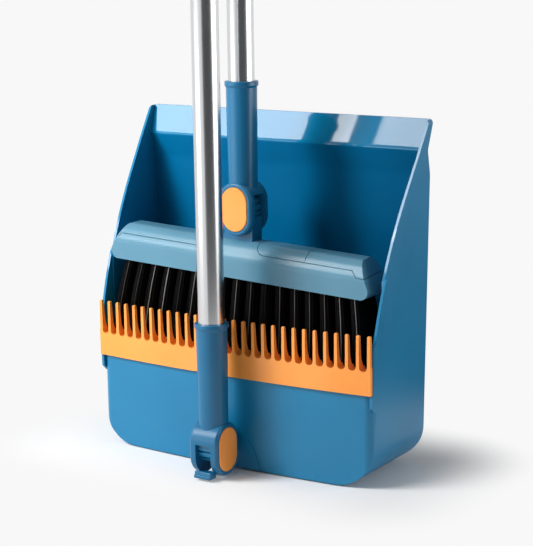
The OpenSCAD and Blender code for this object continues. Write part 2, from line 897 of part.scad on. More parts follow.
module broom_side_covers() {
  color(pale_blue) at_head() difference() {
    intersection() {
      both_covers(0);
      difference() {
        head_solid(0);
        head_solid(cover_t - 0.02);
      }
    }
    // joint line across the right cover
    difference() {
      translate([cover_joint_x, -head_d, cover_low + 1]) cube([cover_joint_w, 2 * head_d, -cover_low]);
      head_solid(cover_joint_depth);
    }
  }
}

// Plate that closes the head's underside and carries the bristles
module broom_bristle_block() {
  w = 2 * (under_half - block_gap);
  d = head_d - 2 * head_wall - 2 * block_gap;
  color("dimgray") at_head() translate([head_shift, 0, head_low + 0.3])
    linear_extrude(block_h) rounded_box(w, d, 9 - block_gap);
}

module broom_bristles() {
  top = head_low + 0.3;
  tip = head_low - bristle_len;
  half = head_len / 2;
  color("black") at_head() intersection() {
    along_y(-past, past) translate([head_shift, 0])
      rounded([[-tip_half, tip], [tip_half, tip], [half - 8, tip + splay_low], [half - 5, tip + splay_high],
               [half - root_in, top], [root_in - half, top], [5 - half, tip + splay_high],
               [8 - half, tip + splay_low]],
              [20, 20, 30, 60, 0, 0, 60, 30]);
    along_x(-past, past)
      polygon([[-bristle_t_tip / 2, tip], [bristle_t_tip / 2, tip],
               [bristle_t_top / 2, top], [-bristle_t_top / 2, top]]);
  }
}

// Eye, stem and foot that carry the head on the knuckle
module broom_bracket() {
  stem_top = -7;
  color(blue) at_head() {
    difference() {
      union() {
        rotate([0, 0, -90]) eye();
        along_y(-eye_t / 2, eye_t / 2)
          difference() {
            rounded([[-stem_half, foot_z - 1], [stem_half, foot_z - 1], [stem_half, stem_top],
                     [stem_half - 6, stem_top + 3], [6 - stem_half, stem_top + 3],
                     [-stem_half, stem_top]], [0, 0, 2, 2, 2, 2]);
            circle(eye_r - groove_depth);
          }
        translate([0, 0, foot_z - foot_t]) linear_extrude(foot_t) rounded_box(2 * foot_half, foot_d, 4);
      }
      rotate([0, 0, -90]) bar_x(pin_r + pin_gap, -eye_t, eye_t);
      for (s = [-1, 1])
        translate([s * boss_x, 0, foot_z - 2 * foot_t]) cylinder(r = screw_d / 2 + fit_gap, h = 4 * foot_t);
    }
  }
}

module broom_bracket_screws() {
  color(steel) at_head() for (s = [-1, 1])
    translate([s * boss_x, 0, foot_z - foot_t - 0.02])
      screw_short();
}

// Screw of the head's bracket, short enough to stay inside the head's top wall
module screw_short() {
  rotate_extrude() rounded(
    [[0, -screw_head_t], [screw_head_r, -screw_head_t], [screw_head_r, 0],
     [screw_d / 2, 0], [screw_d / 2, foot_t + 5], [0, foot_t + 6]],
    [0, 1, 0, 0, 0, 0]);
}

pan_shell();
comb_strip();
pan_bracket();
pan_bracket_screws();
pan_knuckle();
at_pan() hinge_pin();  // pan_hinge_pin
at_pan() pin_cap();  // pan_pin_cap
at_pan() push_button();  // pan_button
at_pan() button_spring();  // pan_button_spring
at_pan() lower_tube(pan_tube_len);  // pan_tube_lower
at_pan() coupling(pan_tube_len);  // pan_tube_coupling
at_pan() upper_tube(pan_tube_len);  // pan_tube_upper
at_pan() grip(pan_tube_len);  // pan_grip
at_pan() end_cap(pan_tube_len);  // pan_end_cap
broom_head_shell();
broom_side_covers();
broom_bristle_block();
broom_bristles();
broom_bracket();
broom_bracket_screws();
broom_knuckle();
at_broom() hinge_pin();  // broom_hinge_pin
at_broom() pin_cap();  // broom_pin_cap
at_broom() push_button();  // broom_button
at_broom() button_spring();  // broom_button_spring
at_broom() lower_tube(broom_tube_len);  // broom_tube_lower
at_broom() coupling(broom_tube_len);  // broom_tube_coupling
at_broom() upper_tube(broom_tube_len);  // broom_tube_upper
at_broom() grip(broom_tube_len);  // broom_grip
at_broom() end_cap(broom_tube_len);  // broom_end_cap
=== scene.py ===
import json
import logging
import math
from dataclasses import dataclass, field
from enum import Enum

import bmesh
import bpy
from mathutils import Matrix, Vector


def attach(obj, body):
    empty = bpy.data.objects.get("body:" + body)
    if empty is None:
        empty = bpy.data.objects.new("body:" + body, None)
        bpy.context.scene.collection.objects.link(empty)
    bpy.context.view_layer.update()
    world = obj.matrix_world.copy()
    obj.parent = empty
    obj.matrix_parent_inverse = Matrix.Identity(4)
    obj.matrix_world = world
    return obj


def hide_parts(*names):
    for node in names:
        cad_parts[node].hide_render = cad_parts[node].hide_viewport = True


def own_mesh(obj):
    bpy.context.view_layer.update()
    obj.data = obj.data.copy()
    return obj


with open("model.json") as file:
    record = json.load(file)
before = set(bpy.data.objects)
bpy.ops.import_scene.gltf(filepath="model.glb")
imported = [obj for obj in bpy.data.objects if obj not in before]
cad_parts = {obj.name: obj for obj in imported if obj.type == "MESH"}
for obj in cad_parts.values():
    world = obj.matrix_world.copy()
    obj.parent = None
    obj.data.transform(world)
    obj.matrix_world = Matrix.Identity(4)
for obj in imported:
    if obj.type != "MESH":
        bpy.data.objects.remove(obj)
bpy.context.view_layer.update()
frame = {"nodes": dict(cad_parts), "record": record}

LOG = logging.getLogger("dust_pan_set")
MM = 0.001
# middle of the pan's lip, which mirrors the lamps
LIP = Vector((0.0, 0.040, 0.276))
# most of a noise's values lie between these two
NOISE_LOW, NOISE_HIGH = 0.3, 0.7
NOISE_ROUGHNESS = 0.55
# rays that see the white surroundings, as the camera does
SEEING_RAYS = ("Is Camera Ray", "Is Glossy Ray", "Is Transmission Ray")

Rgba = tuple[float, float, float, float]


def linear(code: str) -> Rgba:
    """Turn an sRGB hex colour into the linear colour that a shader takes.

    Args:
        code: six hex digits, such as "3A8CBC".

    Returns:
        Red, green, blue and an alpha of one.
    """
    parts = [int(code[i:i + 2], 16) / 255 for i in (0, 2, 4)]
    r, g, b = (c / 12.92 if c <= 0.04045 else ((c + 0.055) / 1.055) ** 2.4 for c in parts)
    return (r, g, b, 1.0)


# ---------------------------------------------------------------- finishes


class Nodes:
    """The nodes of a material, of the world or of a geometry tree while they are being made."""

    def __init__(self, tree: bpy.types.NodeTree) -> None:
        """Work in this tree."""
        self.tree = tree

    def add(self, kind: str, settings: dict | None = None,
            inputs: dict | None = None) -> bpy.types.Node:
        """Add a node with its settings and its links.

        Args:
            kind: the node's type name.
            settings: properties of the node.
            inputs: socket name or number to a value, or to a socket that feeds it.

        Returns:
            The new node.
        """
        node = self.tree.nodes.new(kind)
        for key, value in (settings or {}).items():
            setattr(node, key, value)
        for key, value in (inputs or {}).items():
            if isinstance(value, bpy.types.NodeSocket):
                self.tree.links.new(value, node.inputs[key])
            else:
                node.inputs[key].default_value = value
        return node

    def math(self, operation: str, *values: object) -> bpy.types.NodeSocket:
        """Add one step of arithmetic."""
        node = self.add("ShaderNodeMath", {"operation": operation}, dict(enumerate(values)))
        return node.outputs[0]

    def seeing(self) -> bpy.types.NodeSocket:
        """Tell with a one whether a ray is one of those that see the white surroundings."""
        path = self.add("ShaderNodeLightPath")
        rays = path.outputs[SEEING_RAYS[0]]
        for kind in SEEING_RAYS[1:]:
            rays = self.math("MAXIMUM", rays, path.outputs[kind])
        return rays


class Surface(Nodes):
    """A material while it is being made, read in the object's own metres."""

    def __init__(self, name: str) -> None:
        """Start a material of this name with its plain shader."""
        self.material = bpy.data.materials.new(name)
        self.material.use_nodes = True
        super().__init__(self.material.node_tree)
        self.shader = self.tree.nodes["Principled BSDF"]
        self.place = self.add("ShaderNodeTexCoord").outputs["Object"]

    def set(self, **values: object) -> None:
        """Set or feed the shader's sockets, named with underscores for spaces."""
        for key, value in values.items():
            socket = self.shader.inputs[key.replace("_", " ")]
            if isinstance(value, bpy.types.NodeSocket):
                self.tree.links.new(value, socket)
            else:
                socket.default_value = value

    def noise(self, size_mm: float, detail: float,
              stretch: tuple[int, int, int] = (1, 1, 1)) -> bpy.types.NodeSocket:
        """Add a noise whose grains are about size_mm across, stretched along each axis."""
        at = self.add("ShaderNodeMapping", {},
                      {"Vector": self.place, "Scale": tuple(1 / s for s in stretch)})
        node = self.add("ShaderNodeTexNoise", {},
                        {"Vector": at.outputs[0], "Scale": 1 / (size_mm * MM),
                         "Detail": detail, "Roughness": NOISE_ROUGHNESS})
        return node.outputs[0]

    def spread(self, source: bpy.types.NodeSocket, low: float, high: float) -> bpy.types.NodeSocket:
        """Spread a noise's middle range over low to high."""
        node = self.add("ShaderNodeMapRange", {},
                        {"Value": source, "From Min": NOISE_LOW, "From Max": NOISE_HIGH,
                         "To Min": low, "To Max": high})
        return node.outputs[0]

    def blend(self, factor: object, a: object, b: object) -> bpy.types.NodeSocket:
        """Mix two colours by a factor."""
        node = self.add("ShaderNodeMix", {"data_type": "RGBA"}, {0: factor, 6: a, 7: b})
        return node.outputs[2]

    def bump(self, height: bpy.types.NodeSocket, depth_mm: float) -> None:
        """Raise the surface by a height field of the given depth."""
        node = self.add("ShaderNodeBump", {},
                        {"Height": height, "Distance": depth_mm * MM, "Strength": 1.0})
        self.set(Normal=node.outputs[0])


@dataclass(frozen=True)
class MouldedPlastic:
    """Injection-moulded plastic: even colour, a faint moulded grain and a soft gloss.

    The clouds are broad changes of tone, the patches changes of gloss by a share of the
    roughness (unevenness), and the grain is a relief. Their sizes are in millimetres.
    """

    name: str
    colour: str
    shade: str
    roughness: float
    grain_mm: float = 1.1
    grain_depth_mm: float = 0.012
    specular: float = 0.5
    unevenness: float = 0.11
    cloud_mm: float = 70
    patch_mm: float = 9
    patch_stretch: tuple[int, int, int] = (1, 1, 3)
    refraction: float = 1.49

    def material(self) -> bpy.types.Material:
        """Build the plastic's material."""
        s = Surface(self.name)
        # the melt cools unevenly, which leaves broad, very faint clouds of tone
        clouds = s.spread(s.noise(self.cloud_mm, 2), 0, 1)
        patches = s.noise(self.patch_mm, 5, self.patch_stretch)
        spread = self.roughness * self.unevenness
        s.set(Base_Color=s.blend(clouds, linear(self.colour), linear(self.shade)),
              IOR=self.refraction, Specular_IOR_Level=self.specular,
              Roughness=s.spread(patches, self.roughness - spread, self.roughness + spread))
        # the mould's spark-eroded grain, coarser than its real 0.1 mm so that it shows
        s.bump(s.noise(self.grain_mm, 4), self.grain_depth_mm)
        return s.material


@dataclass(frozen=True)
class DrawnSteel:
    """Drawn and brushed steel tube: fine lines along its length and a broad satin gloss."""

    name: str = "drawn_satin_steel"
    colour: str = "DCDDDE"
    shade: str = "D2D3D5"
    smoothest: float = 0.22
    roughest: float = 0.27
    line_mm: float = 0.5
    line_stretch: tuple[int, int, int] = (1, 1, 400)
    line_depth_mm: float = 0.0006

    def material(self) -> bpy.types.Material:
        """Build the tube's material."""
        s = Surface(self.name)
        # brushing leaves lines a few tenths of a millimetre apart, hundreds of times as long
        lines = s.noise(self.line_mm, 3, self.line_stretch)
        s.set(Base_Color=s.blend(s.spread(lines, 0, 1), linear(self.colour), linear(self.shade)),
              Metallic=1.0, Roughness=s.spread(lines, self.smoothest, self.roughest))
        s.bump(lines, self.line_depth_mm)
        return s.material


@dataclass(frozen=True)
class ZincSteel:
    """Zinc-plated steel of pins, screws and springs: bright, with a fine crystalline mottle."""

    name: str = "zinc_plated_steel"
    colour: str = "C4C6C8"
    shade: str = "9DA0A4"
    smoothest: float = 0.22
    roughest: float = 0.38
    mottle_mm: float = 1.4
    mottle_depth_mm: float = 0.008

    def material(self) -> bpy.types.Material:
        """Build the plating's material."""
        s = Surface(self.name)
        mottle = s.noise(self.mottle_mm, 4)
        s.set(Base_Color=s.blend(s.spread(mottle, 0, 1), linear(self.colour), linear(self.shade)),
              Metallic=1.0, Roughness=s.spread(mottle, self.smoothest, self.roughest))
        s.bump(mottle, self.mottle_depth_mm)
        return s.material


@dataclass(frozen=True)
class Filament:
    """Black polypropylene filament: drawn thread with a silky gloss, and a lighter colour painted
    on a few threads as a highlight.
    """

    name: str = "polypropylene_filament"
    colour: str = "050506"
    # lighter colour of a few threads, a painted highlight
    painted_sheen: str = "A09C98"
    smoothest: float = 0.4
    roughest: float = 0.5
    specular: float = 0.12
    silk_mm: float = 6
    silk_stretch: tuple[int, int, int] = (1, 1, 8)

    def material(self) -> bpy.types.Material:
        """Build the filament's material."""
        s = Surface(self.name)
        tone = s.add("ShaderNodeAttribute", {"attribute_name": "tone"}).outputs["Fac"]
        silk = s.noise(self.silk_mm, 2, self.silk_stretch)
        # tone picks the threads that take the painted highlight
        s.set(Base_Color=s.blend(tone, linear(self.colour), linear(self.painted_sheen)),
              Roughness=s.spread(silk, self.smoothest, self.roughest),
              Specular_IOR_Level=self.specular)
        return s.material


class Finish(Enum):
    """The finishes of the set."""

    PAN_BLUE = MouldedPlastic("polypropylene_blue", "0F78A4", "0D729D", 0.33, unevenness=0.06)
    # polished steel in the mould leaves the lip and the upper edges with a sharp gloss
    PAN_POLISHED = MouldedPlastic("polypropylene_blue_polished", "0A79A6", "08749F", 0.07,
                                  grain_depth_mm=0.001)
    # painted shade: the inside is a darker copy of the blue, for the shade inside the pan,
    # and its low specular takes the haze off
    PAN_INSIDE_PAINTED_SHADE = MouldedPlastic("polypropylene_blue_painted_shade", "03608D", "025B86", 0.3,
                                grain_depth_mm=0.004, specular=0.02)
    HANDLE_BLUE = MouldedPlastic("polypropylene_blue_satin", "10668F", "0E6088", 0.3,
                                 grain_depth_mm=0.001, unevenness=0.02)
    HEAD_BLUE = MouldedPlastic("polypropylene_grey_blue", "55889F", "4F8198", 0.31,
                               grain_depth_mm=0.002, unevenness=0.04)
    ORANGE = MouldedPlastic("polypropylene_orange", "FAA04C", "F5963B", 0.3, unevenness=0.05)
    BLOCK = MouldedPlastic("polypropylene_black", "151619", "101114", 0.5)
    TUBE = DrawnSteel()
    ZINC = ZincSteel()
    FILAMENT = Filament()

    def material(self) -> bpy.types.Material:
        """Give the finish's material, built once."""
        found = bpy.data.materials.get(self.value.name)
        return found or self.value.material()


# ---------------------------------------------------------------- making pieces


def body_of_node(node: str) -> str:
    """Find the body that a node belongs to."""
    bodies = frame["record"]["behaviour"]["bodies"]
    return next(name for name, nodes in bodies.items() if node in nodes)


def joint_of(name: str) -> dict:
    """Read a joint's row from the record."""
    return next(j for j in frame["record"]["behaviour"]["joints"] if j["name"] == name)


def keep_plain(obj: bpy.types.Object, name: str) -> bpy.types.Object:
    """Turn an object with modifiers into a new object with a plain mesh.

    Args:
        obj: the object, which is removed.
        name: the new object's name.

    Returns:
        The new object, at the origin.
    """
    graph = bpy.context.evaluated_depsgraph_get()
    mesh = bpy.data.meshes.new_from_object(obj.evaluated_get(graph), depsgraph=graph)
    bpy.data.objects.remove(obj, do_unlink=True)
    mesh.name = name
    made = bpy.data.objects.new(name, mesh)
    bpy.context.scene.collection.objects.link(made)
    return made


@dataclass(frozen=True)
class Dressing:
    """How a solid is finished: its surface and how far its edges are rounded.

    Edges sharper than corner_deg are rounded. Points closer than weld are one, in metres, and
    faces that differ by less than flat_deg are joined first.
    """

    node: str
    finish: Finish
    edge_mm: float = 0.35
    segments: int = 2
    corner_deg: float = 33.0
    flat_deg: float = 0.5
    weld: float = 2e-6
    face_weight: int = 50

    def build(self) -> bpy.types.Object:
        """Make the finished piece that stands for the node.

        Returns:
            The new object, riding on the node's body.
        """
        mesh = frame["nodes"][self.node].data.copy()
        work = bmesh.new()
        work.from_mesh(mesh)
        bmesh.ops.remove_doubles(work, verts=work.verts, dist=self.weld)
        bmesh.ops.dissolve_limit(work, angle_limit=math.radians(self.flat_deg),
                                 verts=work.verts, edges=work.edges)
        work.to_mesh(mesh)
        work.free()
        obj = bpy.data.objects.new(self.node + "_work", mesh)
        bpy.context.scene.collection.objects.link(obj)
        mesh.polygons.foreach_set("use_smooth", [True] * len(mesh.polygons))
        if self.edge_mm:
            bevel = obj.modifiers.new("rounded_edges", "BEVEL")
            bevel.width = self.edge_mm * MM
            bevel.segments = self.segments
            bevel.limit_method = "ANGLE"
            bevel.angle_limit = math.radians(self.corner_deg)
            bevel.use_clamp_overlap = True
            # large flat faces keep their own normals, and the small ones beside them bend
            weighted = obj.modifiers.new("flat_faces", "WEIGHTED_NORMAL")
            weighted.mode = "FACE_AREA"
            weighted.weight = self.face_weight
            weighted.keep_sharp = True
        made = keep_plain(obj, self.node + "_finished")
        if not self.edge_mm:
            made.data.set_sharp_from_angle(angle=math.radians(self.corner_deg))
        made.data.materials.clear()
        made.data.materials.append(self.finish.material())
        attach(made, body_of_node(self.node))
        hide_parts(self.node)
        LOG.info("%s: %d faces", made.name, len(made.data.polygons))
        return made


@dataclass(frozen=True)
class Pan:
    """The pan's shell with its comb and the bracket of its handle.

    The sizes are in metres. They tell the places that get a finish of their own: the lip
    above lip_foot and the side walls' front edges above side_foot take a polished gloss, and
    the inside takes painted shade, a darker copy of the blue. The last three values are
    limits for one part of a face's normal.
    """

    half_base: float = 0.134
    half_top: float = 0.1405
    height: float = 0.288
    wall: float = 0.0022
    lip_foot: float = 0.2635
    side_foot: float = 0.098
    corner: float = 0.020
    edge_walls: float = 1.5
    painted_shade_slot: int = 1
    polished_slot: int = 2
    facing: float = 0.5
    sideways: float = 0.8
    to_front: float = -0.2

    def build(self) -> None:
        """Make the pan's pieces."""
        shell = Dressing("pan_shell", Finish.PAN_BLUE, 0.7, 3).build()
        self.paint_inside_shade_and_polish_rim(shell)
        Dressing("comb_strip", Finish.ORANGE, 0.6, 3).build()
        Dressing("pan_bracket", Finish.PAN_BLUE, 0.2, 2).build()
        Dressing("pan_bracket_screws", Finish.ZINC, 0.15).build()

    def half_width(self, height: float) -> float:
        """Give half of the pan's outside width at a height."""
        return self.half_base + (self.half_top - self.half_base) * height / self.height

    def paint_inside_shade_and_polish_rim(self, shell: bpy.types.Object) -> None:
        """Give the lip and the upper edges of the shell a polished gloss, and paint shade into the
        inside with a darker copy of the blue.

        Args:
            shell: the finished shell, whose faces get the finish of their place.
        """
        # painted shade: a darker copy of the blue for the inside
        shell.data.materials.append(Finish.PAN_INSIDE_PAINTED_SHADE.material())
        shell.data.materials.append(Finish.PAN_POLISHED.material())
        for face in shell.data.polygons:
            n, c = face.normal, face.center
            half = self.half_width(c.z)
            at_side = abs(c.x) > half - self.edge_walls * self.wall
            between = abs(c.x) < half - self.wall
            in_from_side = c.x * n.x < 0 and abs(n.x) > self.facing and not at_side
            in_from_wall = c.y * n.y < 0 and abs(n.y) > self.facing and between
            base = n.z > self.facing and c.z < self.corner
            side_edge = at_side and c.z > self.side_foot and abs(n.x) < self.sideways
            if n.y < self.to_front and (c.z > self.lip_foot or side_edge):
                face.material_index = self.polished_slot
            # faces inside the pan take the painted shade
            elif in_from_side or in_from_wall or base:
                face.material_index = self.painted_shade_slot


@dataclass(frozen=True)
class Handle:
    """One handle: knuckle, pin, button and spring, tubes, coupling, grip and cap."""

    prefix: str
    finish: Finish = Finish.HANDLE_BLUE

    def build(self) -> None:
        """Make the handle's pieces."""
        looks = {"knuckle": (self.finish, 0.5, 3), "hinge_pin": (Finish.ZINC, 0.15, 2),
                 "pin_cap": (self.finish, 0.2, 2), "button": (Finish.ORANGE, 0.4, 3),
                 "button_spring": (Finish.ZINC, 0, 1), "tube_lower": (Finish.TUBE, 0.2, 2),
                 "tube_coupling": (self.finish, 0.3, 2), "tube_upper": (Finish.TUBE, 0.2, 2),
                 "grip": (self.finish, 0.3, 2), "end_cap": (Finish.ORANGE, 0.5, 3)}
        made = {piece: Dressing(f"{self.prefix}_{piece}", *look).build()
                for piece, look in looks.items()}
        self.give_way(made["button_spring"])

    def give_way(self, spring: bpy.types.Object) -> None:
        """Give the finished spring a mesh of its own.

        Args:
            spring: the finished spring.
        """
        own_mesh(spring)


@dataclass(frozen=True)
class BroomHead:
    """The broom's head without its bristles."""

    def build(self) -> None:
        """Make the head's pieces."""
        Dressing("broom_head_shell", Finish.HEAD_BLUE, 0.7, 3).build()
        Dressing("broom_side_covers", Finish.HEAD_BLUE, 0.3, 2).build()
        Dressing("broom_bristle_block", Finish.BLOCK, 0.5, 2).build()
        Dressing("broom_bracket", Finish.HANDLE_BLUE, 0.4, 2).build()
        Dressing("broom_bracket_screws", Finish.ZINC, 0.15).build()


# ---------------------------------------------------------------- bristles


class GeometryTree(Nodes):
    """A Geometry Nodes tree while it is being made."""

    def __init__(self, name: str) -> None:
        """Start a tree with a geometry coming in and going out."""
        super().__init__(bpy.data.node_groups.new(name, "GeometryNodeTree"))
        for way in ("INPUT", "OUTPUT"):
            self.tree.interface.new_socket("Geometry", in_out=way,
                                           socket_type="NodeSocketGeometry")
        self.entry = self.tree.nodes.new("NodeGroupInput")
        self.exit = self.tree.nodes.new("NodeGroupOutput")

    def value(self, name: str, kind: str, default: object = None) -> bpy.types.NodeSocket:
        """Add a named input of the tree and give the socket that reads it."""
        item = self.tree.interface.new_socket(name, in_out="INPUT", socket_type=kind)
        if default is not None:
            item.default_value = default
        return next(o for o in self.entry.outputs if o.identifier == item.identifier)


@dataclass(frozen=True)
class BristleField:
    """Rows of tufts that fan out sideways and splay a little to the front and back.

    Lengths are in metres. The powers say how each bend or fading grows along a thread, from
    0 at its root to 1 at its tip. Threads of the front row whose roots lie beyond the
    foremost share of their tuft's radius take a painted highlight, a lighter colour.
    """

    columns: int = 17
    rows: int = 4
    length: float = 0.1503
    half_length: float = 0.112
    half_depth: float = 0.0105
    tuft_radius: float = 0.0046
    fan: float = 0.0125
    gather: float = 0.042
    splay: float = 0.007
    spread: float = 0.0036
    filaments: int = 46
    filament_radius: float = 0.00045
    head_lean: float = 2.6
    shift: float = 0.0035
    top_below_hinge: float = 0.0562
    seed: int = 7
    thread_points: int = 9
    thread_sides: int = 3
    golden_angle: float = 2.39996
    shortest: float = 0.965
    stray: float = 0.0018
    bend_power: float = 2.6
    gather_power: float = 4.0
    stray_power: float = 1.3
    fade_power: float = 2.0
    foremost: float = 0.91
    front_row: float = 0.9

    def tree(self) -> bpy.types.NodeTree:
        """Build the tree that grows the filaments."""
        t = GeometryTree("bristle_field")
        columns = t.value("Columns", "NodeSocketInt", self.columns)
        rows = t.value("Rows", "NodeSocketInt", self.rows)
        size_x = t.value("Field Length", "NodeSocketFloat", 2 * self.half_length)
        size_y = t.value("Field Depth", "NodeSocketFloat", 2 * self.half_depth)
        count = t.value("Filaments", "NodeSocketInt", self.filaments)
        tuft = t.value("Tuft Radius", "NodeSocketFloat", self.tuft_radius)
        length = t.value("Length", "NodeSocketFloat", self.length)
        radius = t.value("Filament Radius", "NodeSocketFloat", self.filament_radius)
        fan = t.value("Fan", "NodeSocketFloat", self.fan)
        gather = t.value("Gather", "NodeSocketFloat", self.gather)
        splay = t.value("Splay", "NodeSocketFloat", self.splay)
        spread = t.value("Spread", "NodeSocketFloat", self.spread)
        seed = t.value("Seed", "NodeSocketInt", self.seed)
        finish = t.value("Material", "NodeSocketMaterial")

        def field_of(name: str) -> bpy.types.NodeSocket:
            """Read a vector that was stored on the roots."""
            return t.add("GeometryNodeInputNamedAttribute", {"data_type": "FLOAT_VECTOR"},
                         {"Name": name}).outputs[0]

        def stored(geometry: bpy.types.NodeSocket, name: str, kind: str,
                   value: object) -> bpy.types.NodeSocket:
            """Store a value on the points."""
            return t.add("GeometryNodeStoreNamedAttribute", {"data_type": kind, "domain": "POINT"},
                         {"Geometry": geometry, "Name": name, "Value": value}).outputs[0]

        place = t.add("GeometryNodeInputPosition").outputs[0]
        # tuft holes on a grid
        holes = t.add("GeometryNodeMeshGrid", {},
                      {"Size X": size_x, "Size Y": size_y,
                       "Vertices X": columns, "Vertices Y": rows}).outputs[0]
        holes = stored(holes, "hole", "FLOAT_VECTOR", place)
        # filaments scattered over each hole in a sunflower pattern
        line = t.add("GeometryNodeMeshLine", {}, {"Count": count, "Offset": (0, 0, 0)}).outputs[0]
        index = t.add("GeometryNodeInputIndex").outputs[0]
        share = t.math("DIVIDE", t.math("ADD", index, 0.5), count)
        reach = t.math("MULTIPLY", t.math("SQRT", share), tuft)
        angle = t.math("MULTIPLY", index, self.golden_angle)
        spot = t.add("ShaderNodeCombineXYZ", {},
                     {0: t.math("MULTIPLY", reach, t.math("COSINE", angle)),
                      1: t.math("MULTIPLY", reach, t.math("SINE", angle))})
        bundle = t.add("GeometryNodeSetPosition", {},
                       {"Geometry": line, "Position": spot.outputs[0]}).outputs[0]
        bundle = stored(bundle, "spot", "FLOAT_VECTOR", place)
        roots = t.add("GeometryNodeInstanceOnPoints", {},
                      {"Points": holes, "Instance": bundle}).outputs[0]
        roots = t.add("GeometryNodeRealizeInstances", {}, {"Geometry": roots}).outputs[0]
        # one filament: a thin thread with a few flat sides, hanging down
        thread = t.add("GeometryNodeCurvePrimitiveLine", {}, {"End": (0, 0, -1)}).outputs[0]
        thread = t.add("GeometryNodeResampleCurve", {},
                       {"Curve": thread, "Count": self.thread_points}).outputs[0]
        along = t.add("GeometryNodeSplineParameter").outputs[0]
        thread = stored(thread, "along", "FLOAT", along)
        ring = t.add("GeometryNodeCurvePrimitiveCircle", {},
                     {"Resolution": self.thread_sides, "Radius": radius}).outputs[0]
        thread = t.add("GeometryNodeCurveToMesh", {},
                       {"Curve": thread, "Profile Curve": ring, "Fill Caps": True}).outputs[0]
        long = t.add("FunctionNodeRandomValue", {"data_type": "FLOAT"},
                     {2: self.shortest, 3: 1.0, "Seed": seed}).outputs[1]
        size = t.add("ShaderNodeCombineXYZ", {},
                     {0: 1.0, 1: 1.0, 2: t.math("MULTIPLY", long, length)})
        # each thread strays by x and y, and z is the strength of its painted highlight
        wild = t.add("FunctionNodeRandomValue", {"data_type": "FLOAT_VECTOR"},
                     {0: (-self.stray, -self.stray, 0.0), 1: (self.stray, self.stray, 1.0),
                      "Seed": seed}).outputs[0]
        roots = stored(roots, "wild", "FLOAT_VECTOR", wild)
        grown = t.add("GeometryNodeInstanceOnPoints", {},
                      {"Points": roots, "Instance": thread, "Scale": size.outputs[0]}).outputs[0]
        grown = t.add("GeometryNodeRealizeInstances", {}, {"Geometry": grown}).outputs[0]
        # bend: the tufts lean out as they leave the block and straighten as they fall
        down = t.add("GeometryNodeInputNamedAttribute", {"data_type": "FLOAT"},
                     {"Name": "along"}).outputs[0]
        left = t.math("SUBTRACT", 1.0, down)
        away = t.math("SUBTRACT", 1.0, t.math("POWER", left, self.bend_power))
        hole = t.add("ShaderNodeSeparateXYZ", {}, {0: field_of("hole")})
        spot_at = t.add("ShaderNodeSeparateXYZ", {}, {0: field_of("spot")})
        loose = t.add("ShaderNodeSeparateXYZ", {}, {0: field_of("wild")})
        side = t.math("DIVIDE", hole.outputs[0], t.math("MULTIPLY", size_x, 0.5))
        front = t.math("DIVIDE", hole.outputs[1], t.math("MULTIPLY", size_y, 0.5))
        # near the floor the outer tufts follow the pan's round corners inwards
        inwards = t.math("MULTIPLY", gather, t.math("POWER", down, self.gather_power))
        sideways = t.math("SUBTRACT", t.math("MULTIPLY", fan, away), inwards)
        ways = []
        straying = t.math("POWER", down, self.stray_power)
        forwards = t.math("MULTIPLY", splay, away)
        for axis, (part, reach_of) in enumerate(((side, sideways), (front, forwards))):
            whole = t.math("MULTIPLY", part, reach_of)
            own = t.math("MULTIPLY", t.math("DIVIDE", spot_at.outputs[axis], tuft), spread)
            stray = t.math("MULTIPLY", t.math("ADD", own, loose.outputs[axis]), straying)
            ways.append(t.math("ADD", whole, stray))
        offset = t.add("ShaderNodeCombineXYZ", {}, {0: ways[0], 1: ways[1]})
        grown = t.add("GeometryNodeSetPosition", {},
                      {"Geometry": grown, "Offset": offset.outputs[0]}).outputs[0]
        # painted highlight: the foremost threads of each front tuft take a lighter colour,
        # each by its own strength, and less so towards the tip
        foremost = t.math("LESS_THAN", spot_at.outputs[1],
                          t.math("MULTIPLY", tuft, -self.foremost))
        first_row = t.math("LESS_THAN", front, -self.front_row)
        fading = t.math("POWER", left, self.fade_power)
        glint_strength = t.math("MULTIPLY", fading, loose.outputs[2])
        painted_glint = t.math("MULTIPLY", t.math("MULTIPLY", foremost, first_row), glint_strength)
        grown = stored(grown, "tone", "FLOAT", painted_glint)
        grown = t.add("GeometryNodeRealizeInstances", {}, {"Geometry": grown}).outputs[0]
        done = t.add("GeometryNodeSetMaterial", {},
                     {"Geometry": grown, "Material": finish}).outputs[0]
        t.tree.links.new(done, t.exit.inputs[0])
        return t.tree

    def build(self, hinge: Vector) -> bpy.types.Object:
        """Grow the bristles under the head.

        Args:
            hinge: the middle of the broom's hinge, in metres.

        Returns:
            The bristles as one plain mesh, riding on the head.
        """
        host = bpy.data.objects.new("bristle_host", bpy.data.meshes.new("bristle_host"))
        bpy.context.scene.collection.objects.link(host)
        grow = host.modifiers.new("grow", "NODES")
        grow.node_group = self.tree()
        sockets = grow.node_group.interface.items_tree
        finish = next(s.identifier for s in sockets if s.name == "Material")
        grow[finish] = Finish.FILAMENT.material()
        made = keep_plain(host, "broom_filaments")
        lean = Matrix.Rotation(math.radians(self.head_lean), 4, "Y")
        made.data.transform(Matrix.Translation(hinge) @ lean
                            @ Matrix.Translation((self.shift, 0, -self.top_below_hinge)))
        made.data.polygons.foreach_set("use_smooth", [True] * len(made.data.polygons))
        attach(made, body_of_node("broom_bristles"))
        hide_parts("broom_bristles")
        LOG.info("%s: %d faces", made.name, len(made.data.polygons))
        return made


# ---------------------------------------------------------------- studio


def towards(azimuth: float, elevation: float) -> Vector:
    """Give the way, one metre long, in which something is seen from the set.

    Args:
        azimuth: degrees from the front, to the right as positive.
        elevation: degrees above the level.

    Returns:
        The way from the set.
    """
    a, e = math.radians(azimuth), math.radians(elevation)
    return Vector((math.sin(a) * math.cos(e), -math.cos(a) * math.cos(e), math.sin(e)))


